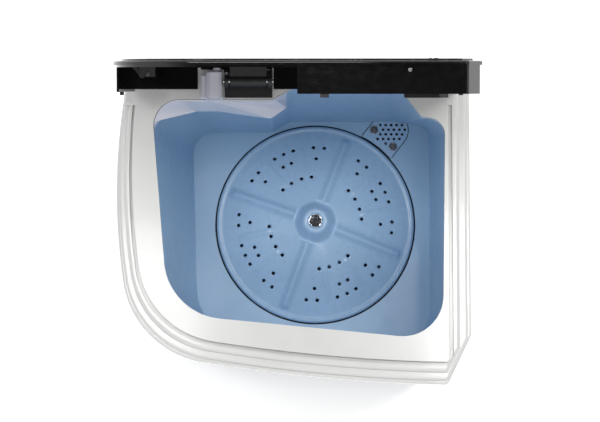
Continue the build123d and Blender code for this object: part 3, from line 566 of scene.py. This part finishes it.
def knob_frame(body, joint_name):
    """Frame on a knob's own axis, at the back of the knob."""
    joint = next(j for j in frame["joints"] if j["name"] == joint_name)
    axis = Vector(joint["axis"]).normalized()
    point = Vector(joint["pos_m"])
    corners = [v.co for v in frame["nodes"][body + "_knob"].data.vertices]
    back = min((c - point).dot(axis) for c in corners)
    front = max((c - point).dot(axis) for c in corners)
    return point, axis, back, front


def dial_marks(body, joint_name, angles):
    """Raised ticks round a knob on the floor of the console."""
    point, axis, back, _ = knob_frame(body, joint_name)
    base = axis_frame(point + axis * back, axis)
    mesh = bmesh.new()
    for i, degrees in enumerate(angles):
        length = 4.2 if i % 3 == 0 else 2.6
        turn = Matrix.Rotation(math.radians(degrees), 4, "Z")
        place = base @ turn @ Matrix.Translation((0, (31.5 + length / 2) * MM, 0.0))
        bar(mesh, place, (0.9 * MM, length * MM, 0.7 * MM), 0.15 * MM)
    return piece(body + "_dial_marks", mesh, "knob_white", "root")


def knob_pointer(body, joint_name):
    """Dark line let into the grip of a knob."""
    point, axis, _, front = knob_frame(body, joint_name)
    base = axis_frame(point + axis * front, axis)
    mesh = bmesh.new()
    bar(mesh, base @ Matrix.Translation((0, 14 * MM, -0.1 * MM)), (1.6 * MM, 17 * MM, 0.8 * MM), 0.2 * MM)
    return piece(body + "_pointer", mesh, "black_plastic", body)


def side_screws():
    """Small screws in the right hand band of the top cover."""
    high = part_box("top_cover")[1]
    mesh = bmesh.new()
    outline = [(0.4, 0.9), (2.2, 1.1), (3.0, 0.5), (3.1, -0.8), (0.4, -0.8)]
    for back in (0.33, 0.365):
        place = Matrix.Translation((high.x - 9 * MM, high.y - back, PANEL - 20 * MM))
        turned(mesh, [(r * MM, h * MM) for r, h in outline], place, 24)
    return piece("side_screws", mesh, "screw_steel", "root")


# ------------------------------------------------------------ the studio
def area_light(name, place, size, watts, colour):
    """Soft rectangular light that points at the middle of the machine."""
    data = bpy.data.lights.new(name, "AREA")
    data.shape = "RECTANGLE"
    data.size, data.size_y = size
    data.energy = watts
    data.color = colour
    obj = bpy.data.objects.new(name, data)
    bpy.context.scene.collection.objects.link(obj)
    obj.location = place
    obj.rotation_euler = (Vector(AIM) - Vector(place)).to_track_quat("-Z", "Y").to_euler()


def studio():
    """Sky that darkens overhead, so that the black lid stays black, and four soft lights."""
    world = bpy.data.worlds.new("studio")
    world.use_nodes = True
    tree = world.node_tree
    coord = tree.nodes.new("ShaderNodeTexCoord")
    split = tree.nodes.new("ShaderNodeSeparateXYZ")
    link(tree, coord.outputs["Generated"], split.inputs[0])
    sky = ramp(tree, split.outputs["Z"], [(0.55, SKY_LOW), (0.95, SKY_HIGH)])
    background = tree.nodes["Background"]
    link(tree, sky, background.inputs["Color"])
    background.inputs["Strength"].default_value = 1.0
    bpy.context.scene.world = world
    bpy.context.scene.view_settings.view_transform = "Standard"
    for name, place, size, watts, colour in LIGHTS:
        area_light(name, place, size, watts, colour)


def floor():
    """Pale light table under the machine."""
    mesh = bmesh.new()
    bmesh.ops.create_grid(mesh, x_segments=8, y_segments=8, size=6.0)
    data = bpy.data.meshes.new("floor")
    mesh.to_mesh(data)
    mesh.free()
    material = surface("studio_floor", (0.92, 0.92, 0.92), 0.01, 1.0, (0.55, 0.65), (60.0, 0.02))
    shader = material.node_tree.nodes["Principled BSDF"]
    shader.inputs["Emission Color"].default_value = (1.0, 1.0, 1.0, 1.0)
    shader.inputs["Emission Strength"].default_value = TABLE_GLOW
    data.materials.append(material)
    obj = bpy.data.objects.new("floor", data)
    bpy.context.scene.collection.objects.link(obj)


def camera():
    """Long lens from above, as the machine is shown."""
    data = bpy.data.cameras.new("camera")
    data.lens, data.sensor_width = LENS_MM, SENSOR_MM
    data.clip_end = 50.0
    obj = bpy.data.objects.new("camera", data)
    obj.location = (CAMERA_X, FRONT - CAMERA_AHEAD, PANEL + CAMERA_ABOVE_PANEL)
    obj.rotation_euler = (TILT, 0.0, 0.0)
    bpy.context.scene.collection.objects.link(obj)
    bpy.context.scene.camera = obj


camera()
floor()
studio()
dress_cad()
pulsator_disc()
disc_gap_shade()
drain_hole_shade()
hub_ring()
screw_rings()
drain_gap_shade()
rear_shade_strip()
side_screws()
dial_marks("timer", "timer_turn", range(0, 301, 20))
dial_marks("selector", "selector_turn", range(0, 91, 30))
knob_pointer("timer", "timer_turn")
knob_pointer("selector", "selector_turn")
